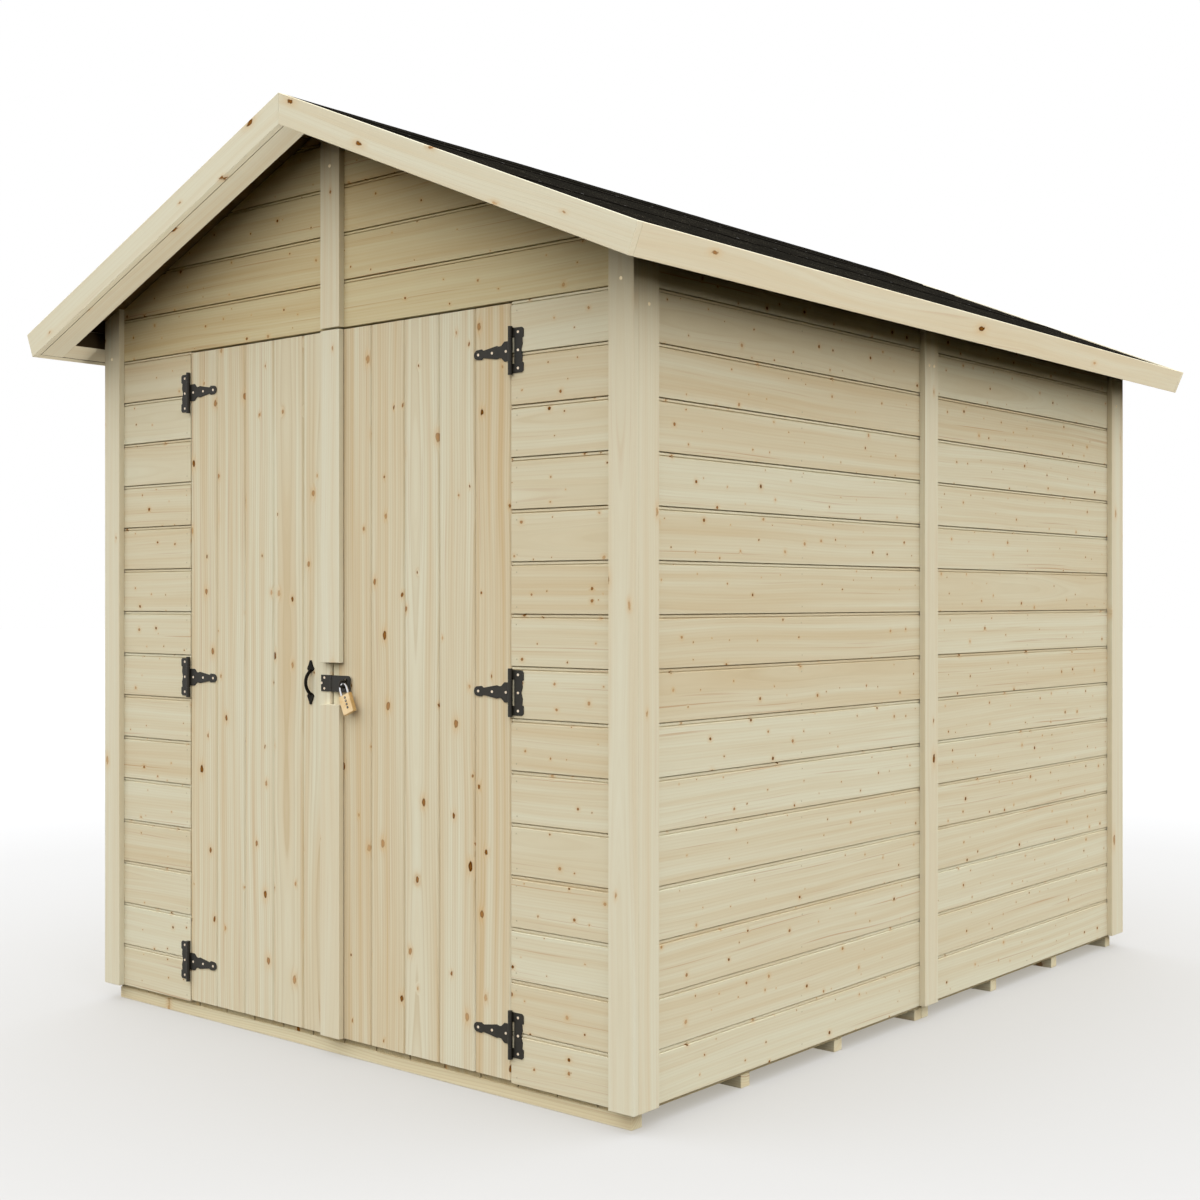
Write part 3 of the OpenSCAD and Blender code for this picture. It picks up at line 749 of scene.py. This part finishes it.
def addSheet(stack, rows, ys, lift):  # a closed sheet; each row is (side, distance down the slope)
    first = len(stack["verts"])
    across = len(ys)
    for level in (0.0, felt["thick"]):
        for side, s in rows:
            origin, along, down, out = slopePlace(side)
            plumb = -math.tan(roofPitch) if s == 0 else 0.0
            for y in ys:
                n = lift(s) + level + (ripple(s, y) if level else 0.0)
                stack["verts"].append(origin + along * y + down * (s + n * plumb) + out * n)
    total = len(rows) * across
    for i in range(len(rows) - 1):
        for j in range(across - 1):
            a = first + i * across + j
            quad = (a, a + 1, a + across + 1, a + across)
            stack["faces"].append(quad)
            stack["faces"].append(tuple(k + total for k in quad))
    rim = [(i * across, (i + 1) * across) for i in range(len(rows) - 1)]
    rim += [(i * across + across - 1, (i + 1) * across + across - 1) for i in range(len(rows) - 1)]
    rim += [(j, j + 1) for j in range(across - 1)]
    rim += [(total - across + j, total - across + j + 1) for j in range(across - 1)]
    for a, b in rim:
        stack["faces"].append((first + a, first + b, first + b + total, first + a + total))


def spread(low, high, step):
    count = max(1, math.ceil((high - low) / step))
    return [low + (high - low) * i / count for i in range(count + 1)]


def layFelt(look):
    stack = newStack()
    lo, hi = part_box("right_roof_felt")
    ys = spread(lo.y, hi.y, look["stepAlong"])
    length = slopeLength("right_roof_felt", look["under"] + look["thick"])
    lapLift = look["thick"] + look["clear"]

    def courseLift(bottom, lapped):
        def lift(s):
            share = (s - bottom + look["lap"] + look["ramp"]) / look["ramp"]
            return look["under"] + lapLift * min(1.0, max(0.0, share)) * lapped
        return lift

    laps = []
    bottom = length
    while bottom > look["capHalf"]:
        top = max(look["topFree"], bottom - look["course"] - look["lap"])
        for side in (-1, 1):
            rows = [(side, s) for s in spread(top, bottom, look["stepDown"])]
            addSheet(stack, rows, ys, courseLift(bottom, 0.0 if bottom == length else 1.0))
            laps.append((side, bottom))
        bottom = top + look["lap"] if top > look["topFree"] else 0.0
    half = spread(0.0, look["capHalf"], look["stepDown"])
    rows = [(-1, s) for s in reversed(half[1:])] + [(1, s) for s in half]
    addSheet(stack, rows, ys, lambda s: look["under"] + lapLift)
    nodes = ["left_roof_felt", "right_roof_felt"]
    stackPiece("roofFelt", stack, mineralFelt, "shed", "roofing_felt", nodes)
    return laps


feltLaps = layFelt(felt)
print("felt laid, edges:", len(feltLaps))


# turned heads: nails and screws as small lathed or crossed forms

def headFrame(out):
    side = out.cross(alongZ if abs(out.z) < 0.9 else alongX).normalized()
    return side, out.cross(side).normalized()


def addHead(stack, centre, out, profile, segments, cross=None):  # profile: (radius, height), rim first
    side, up = headFrame(out)
    first = len(stack["verts"])
    for radius, height in profile:
        for i in range(segments):
            angle = 2 * math.pi * i / segments
            x, y = radius * math.cos(angle), radius * math.sin(angle)
            sunk = cross and radius < cross["reach"] and min(abs(x), abs(y)) < cross["half"]
            level = height - (cross["depth"] if sunk else 0.0)
            stack["verts"].append(centre + side * x + up * y + out * level)
    rings = len(profile)
    for k in range(rings - 1):
        for i in range(segments):
            j = (i + 1) % segments
            a, b = first + k * segments, first + (k + 1) * segments
            stack["faces"].append((a + i, a + j, b + j, b + i))
    stack["faces"].append(tuple(range(first, first + segments)))
    stack["faces"].append(tuple(range(first + (rings - 1) * segments, first + rings * segments)))


def dome(radius, height, sunk):  # a low round head whose foot is sunk in what it holds
    rim = [(radius, -sunk), (radius, height * 0.25)]
    return rim + [(radius * 0.86, height * 0.7), (radius * 0.5, height)]


cornerWide = 0.067  # corner boards
nails = {
    "radius": 0.0019, "height": 0.0004, "sunk": 0.001, "segments": 8, "aboveLip": 0.0145,
    "belowLedge": 0.013, "jambIn": 0.0155, "jambSlip": 0.0015, "studSlip": 0.002, "roofIn": 0.035,
    "ridgeFree": 0.08,
}


def nailWalls(look):
    stack = newStack()
    profile = dome(look["radius"], look["height"], look["sunk"])
    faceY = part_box("front_wall_left")[0].y
    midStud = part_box("side_wall_studs")[1].y / 2
    rises = (look["aboveLip"], shiplap["pitch"] - shiplap["ledge"] - look["belowLedge"])
    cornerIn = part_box("front_corner_boards")[1].x - cornerWide

    def addNail(place, out):
        addHead(stack, Vector(place), out, profile, look["segments"])

    for row in rowsBetween(floorTop, doorHead):
        for z in [rowFoot(row) + rise for rise in rises]:
            for side in (-1, 1):
                slip = dice.uniform(-look["jambSlip"], look["jambSlip"])
                addNail((side * (jambs[side] + look["jambIn"] + slip), faceY, z), -alongY)
                for end in (-1, 1):
                    slip = dice.uniform(-look["studSlip"], look["studSlip"])
                    addNail((side * wallHalf, end * midStud + slip, z), alongX * side)
    for row in rowsBetween(doorHead, wallTop):
        for z in [rowFoot(row) + rise for rise in rises]:
            reach = roofReach(z) - look["roofIn"]
            if cornerIn > reach > look["ridgeFree"]:
                for side in (-1, 1):
                    addNail((side * reach, faceY, z), -alongY)
                    addNail((side * reach, -faceY, z), alongY)
    return stackPiece("claddingNails", stack, metals["nailSteel"], "shed", "black_ironmongery")


nailWalls(nails)

clouts = {
    "radius": 0.004, "height": 0.0005, "sunk": 0.0005, "segments": 8, "pitch": 0.15, "edge": 0.02,
    "slip": 0.01,
}


def nailFelt(look):
    stack = newStack()
    profile = dome(look["radius"], look["height"], look["sunk"])
    lo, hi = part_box("right_roof_felt")
    lowest = max(bottom for side, bottom in feltLaps)
    for side, bottom in feltLaps:
        origin, along, down, out = slopePlace(side)
        top = felt["under"] + felt["thick"] * (1 if bottom == lowest else 2)
        for y in spread(lo.y + look["edge"], hi.y - look["edge"], look["pitch"]):
            slip = dice.uniform(-look["slip"], look["slip"])
            centre = origin + along * (y + slip) + down * (bottom - look["edge"]) + out * top
            addHead(stack, centre, out, profile, look["segments"])
    return stackPiece("feltNails", stack, metals["cloutSteel"], "shed", "shackle_steel")


nailFelt(clouts)

screws = {
    "hinge": {
        "radius": 0.0031, "height": 0.0012, "sunk": 0.0006, "segments": 24,
        "reach": 0.0022, "half": 0.00045, "depth": 0.0007,
    },
    "trim": {
        "radius": 0.0041, "height": 0.0014, "sunk": 0.0006, "segments": 24,
        "reach": 0.0027, "half": 0.0005, "depth": 0.0007,
    },
    "crown": (0.7, 0.55, 0.4, 0.25, 0.1), "crownFall": 0.4,
}


def screwProfile(look):
    radius, height = look["radius"], look["height"]
    rows = [(radius, -look["sunk"]), (radius, height * 0.3), (radius * 0.9, height * 0.72)]
    for share in screws["crown"]:
        rows.append((radius * share, height * (1 - share * share * screws["crownFall"])))
    return rows


def screwPiece(name, places, body, look=screws["hinge"], metal="screwZinc"):
    stack = newStack()
    profile = screwProfile(look)
    for centre, out in places:
        addHead(stack, Vector(centre), out, profile, look["segments"], look)
    return stackPiece(name, stack, metals[metal], body, "shackle_steel")


trimScrews = {"frontZ": 1.7286, "sideZ": 1.679, "gableZ": 2.1033, "stripPair": 0.012}


def trimScrewPlaces(look):
    places = []
    front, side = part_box("front_corner_boards"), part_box("side_corner_boards")
    cornerX = front[1].x - cornerWide / 2
    cornerY = side[1].y - cornerWide / 2
    for x in (-1, 1):
        for y in (-1, 1):
            places.append(((x * cornerX, y * abs(front[0].y), look["frontZ"]), alongY * y))
            places.append(((x * side[1].x, y * cornerY, look["sideZ"]), alongX * x))
        for y in (-look["stripPair"], look["stripPair"]):
            places.append(((x * side[1].x, y, look["sideZ"]), alongX * x))
    for y in (-1, 1):
        places.append(((0, y * abs(front[0].y), look["gableZ"]), alongY * y))
    return places


screwPiece("trimScrews", trimScrewPlaces(trimScrews), "shed", screws["trim"], "yellowZinc")

hinge = {
    "metal": 0.002, "barrel": 0.005, "high": 0.104, "plateOut": 0.0193, "plateRise": 0.0388,
    "strapOut": (0.0162, 0.0575, 0.099),
}


def hingePlaces(side, look):  # plate screws stay on the wall, strap screws swing with the door
    lo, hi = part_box(side + "_hinge_plates")
    sign = -1 if side == "left" else 1
    axisX = hi.x - look["barrel"] if side == "left" else lo.x + look["barrel"]
    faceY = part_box("front_wall_left")[0].y - look["metal"]
    heights = [lo.z + look["high"] / 2, (lo.z + hi.z) / 2, hi.z - look["high"] / 2]
    rises = (-look["plateRise"], 0, look["plateRise"])
    plateX = axisX + sign * look["plateOut"]
    plates = [((plateX, faceY, z + rise), -alongY) for z in heights for rise in rises]
    straps = [((axisX - sign * out, faceY, z), -alongY) for z in heights for out in look["strapOut"]]
    return plates, straps


for side in ("left", "right"):
    plates, straps = hingePlaces(side, hinge)
    screwPiece(side + "PlateScrews", plates, "shed")
    screwPiece(side + "StrapScrews", straps, side + "_door")

hasp = {"barrel": 0.0035, "screws": ((-0.0383, 0.0), (-0.0287, 0.0128), (-0.0287, -0.0128))}


def haspPlaces(look):  # screws of the leaf, set out from its pin
    lo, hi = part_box("hasp_leaf")
    pin, middle, face = hi.x - look["barrel"], (lo.z + hi.z) / 2, hi.y - hinge["metal"]
    return [((pin + x, face, middle + z), -alongY) for x, z in look["screws"]]


screwPiece("haspScrews", haspPlaces(hasp), "left_door")
print("nails and screws set")


# ironmongery keeps the frame's own solids

ironNodes = [
    "left_hinge_straps", "left_hinge_plates", "right_hinge_straps", "right_hinge_plates", "hasp_leaf",
    "hasp_flap", "hasp_staple",
]


def paintNode(node, material):
    data = frame["nodes"][node].data
    data.materials.clear()
    data.materials.append(material)


for node in ironNodes:
    paintNode(node, metals["blackIron"])
paintNode("door_handle", metals["handleIron"])
paintNode("padlock_shackle", metals["polishedSteel"])


# padlock body: eased block, four number wheels

padlock = {
    "crown": (0.046, -1.219, 0.881), "tilt": 23, "drop": 0.026, "wide": 0.036, "high": 0.046,
    "deep": 0.012, "ease": 0.0016, "wheels": 4, "wheelX": 0.0027, "firstWheel": 0.008,
    "wheelPitch": 0.008, "wheelHigh": 0.0054, "wheelRadius": 0.006, "wheelBack": 0.001,
    "wheelSegments": 20, "digit": 0.0036, "digitThick": 0.0001,
}


def padlockTurn(look):
    turn = Matrix.Rotation(-math.radians(look["tilt"]), 4, "Y")
    return Matrix.Translation(look["crown"]) @ turn @ Matrix.Translation((0, 0, -look["drop"]))


def makeCase(look):
    size = Matrix.Diagonal((look["wide"], look["deep"], look["high"], 1))
    bm = bmesh.new()
    bmesh.ops.create_cube(bm, size=1, matrix=Matrix.Translation((0, 0, -look["high"] / 2)) @ size)
    bmesh.ops.bevel(bm, geom=list(bm.edges), offset=look["ease"], segments=3, profile=0.6,
                    affect="EDGES")
    bmesh.ops.transform(bm, matrix=padlockTurn(look), verts=bm.verts)
    mesh = bpy.data.meshes.new("padlockCase")
    bm.to_mesh(mesh)
    bm.free()
    brass = metals["padlockBrass"]
    finishPiece("padlockCase", mesh, brass, "right_door", "padlock_brass", ["padlock_body"])


def digitMesh(look):  # a plain number as a thin flat mesh
    text = bpy.data.curves.new("digit", "FONT")
    text.body = str(dice.randrange(10))
    text.size = look["digit"]
    text.align_x = "CENTER"
    text.align_y = "CENTER"
    text.extrude = look["digitThick"]
    letter = bpy.data.objects.new("digit", text)
    scene.collection.objects.link(letter)
    bpy.context.view_layer.update()
    shaped = letter.evaluated_get(bpy.context.evaluated_depsgraph_get())
    flat = bpy.data.meshes.new_from_object(shaped)
    bpy.data.objects.remove(letter)
    return flat


def makeWheels(look):
    place = padlockTurn(look)
    axis = (place.to_3x3() @ alongZ).normalized()
    upright = Matrix.Rotation(math.pi / 2, 4, "X")
    radius, half = look["wheelRadius"], look["wheelHigh"] / 2
    axisY = -look["deep"] / 2 + radius - look["wheelBack"]
    profile = [(radius * 0.9, -half), (radius, -half * 0.7), (radius, half * 0.7), (radius * 0.9, half)]
    wheels = newStack()
    digits = bmesh.new()
    for i in range(look["wheels"]):
        z = -look["firstWheel"] - i * look["wheelPitch"]
        centre = place @ Vector((look["wheelX"], axisY, z))
        addHead(wheels, centre, axis, profile, look["wheelSegments"])
        flat = digitMesh(look)
        face = Matrix.Translation((look["wheelX"], axisY - radius, z))
        flat.transform(place @ (face @ upright))
        digits.from_mesh(flat)
        bpy.data.meshes.remove(flat)
    stackPiece("padlockWheels", wheels, metals["dialBlack"], "right_door", "black_ironmongery")
    mesh = bpy.data.meshes.new("padlockDigits")
    digits.to_mesh(mesh)
    digits.free()
    finishPiece("padlockDigits", mesh, metals["dialPaint"], "right_door", "shackle_steel")


makeCase(padlock)
makeWheels(padlock)
print("padlock made")


# studio: pale floor, white backdrop, even light

studio = {
    "radius": 60.0, "near": (238, 237, 235), "far": (255, 255, 255), "fade": (3.2, 6.5),
    "bounce": (0, 0, 0), "lit": (0.308, 0.316, 0.35), "glow": 0.445, "glowTint": (255, 249, 235),
    "skyStrength": 2.95, "horizon": 0.45, "low": (255, 245, 225), "high": (240, 248, 255),
}
trimFill = {
    "strength": 1.4, "spread": 4, "colour": (255, 251, 244),
    "from": ((0.7, 0, -0.71), (-0.7, 0, -0.71)),
}
filledPieces = [
    "eavesBoards", "eavesBattens", "leftVergeBattens", "rightVergeBattens", "leftBargeBoards",
    "rightBargeBoards",
]


def seenRays(tree):  # one where the camera, a reflection or a refraction looks
    path = addNode(tree, "ShaderNodeLightPath").outputs
    seen = sums(tree, "MAXIMUM", path["Is Camera Ray"], path["Is Glossy Ray"])
    return sums(tree, "MAXIMUM", seen, path["Is Transmission Ray"])


def layFloor(look):  # pale to the eye, black to the shed, so that the dome alone lights it
    bm = bmesh.new()
    bmesh.ops.create_circle(bm, cap_ends=True, radius=look["radius"], segments=96)
    mesh = bpy.data.meshes.new("studioFloor")
    bm.to_mesh(mesh)
    bm.free()
    floor = bpy.data.objects.new("studioFloor", mesh)
    scene.collection.objects.link(floor)
    material, tree, shader = newMaterial("paleFloor")
    place = addNode(tree, "ShaderNodeTexCoord").outputs["Object"]
    away = addNode(tree, "ShaderNodeVectorMath", {0: place}, operation="LENGTH").outputs["Value"]
    fade = ramp(tree, away, *look["fade"])
    shown = mixColours(tree, fade, fromScreen(*look["near"]), fromScreen(*look["far"]))
    seen = seenRays(tree)
    lit = stretched(tree, shown, look["lit"])
    lit = mixColours(tree, seen, fromScreen(*look["bounce"]), lit)
    glow = stretched(tree, shown, fromScreen(*look["glowTint"])[:3])
    feed(tree, shader.inputs["Base Color"], lit)
    feed(tree, shader.inputs["Emission Color"], glow)
    feed(tree, shader.inputs["Emission Strength"], sums(tree, "MULTIPLY", seen, look["glow"]))
    shader.inputs["Roughness"].default_value = 1.0
    shader.inputs["Specular IOR Level"].default_value = 0.0
    mesh.materials.append(material)


def lightStudio(look):  # a dome that brightens upwards
    world = bpy.data.worlds.new("studioWhite")
    scene.world = world
    world.use_nodes = True
    tree = world.node_tree
    tree.nodes.clear()
    facing = addNode(tree, "ShaderNodeTexCoord").outputs["Generated"]
    height = addNode(tree, "ShaderNodeSeparateXYZ", {0: facing}).outputs[2]
    bright = look["skyStrength"]
    strength = ramp(tree, height, 0.0, 1.0, look["horizon"] * bright, bright)
    tint = mixColours(tree, height, fromScreen(*look["low"]), fromScreen(*look["high"]))
    sky = addNode(tree, "ShaderNodeBackground", {0: tint, 1: strength})
    white = addNode(tree, "ShaderNodeBackground", {0: (1, 1, 1, 1), 1: 1.0})
    inputs = {0: seenRays(tree), 1: sky.outputs[0], 2: white.outputs[0]}
    mixed = addNode(tree, "ShaderNodeMixShader", inputs)
    addNode(tree, "ShaderNodeOutputWorld", {0: mixed.outputs[0]})
    scene.view_settings.view_transform = "Standard"


def fillTrims(look):  # soft light from low down on the roof's edge boards alone
    trims = bpy.data.collections.new("roofTrims")
    shed = bpy.data.collections.new("shedPieces")
    for name in filledPieces:
        trims.objects.link(bpy.data.objects[name])
    for piece in scene.collection.all_objects:
        if piece.type == "MESH" and piece.name != "studioFloor":
            shed.objects.link(piece)
    for i, towards in enumerate(look["from"]):
        data = bpy.data.lights.new("trimFill" + str(i), "SUN")
        data.energy = look["strength"]
        data.color = fromScreen(*look["colour"])[:3]
        data.angle = math.radians(look["spread"])
        data.cycles.max_bounces = 0
        lamp = bpy.data.objects.new("trimFill" + str(i), data)
        lamp.rotation_euler = Vector(towards).to_track_quat("Z", "Y").to_euler()
        lamp.light_linking.receiver_collection = trims
        lamp.light_linking.blocker_collection = shed
        scene.collection.objects.link(lamp)


layFloor(studio)
lightStudio(studio)
fillTrims(trimFill)
print("studio lit")
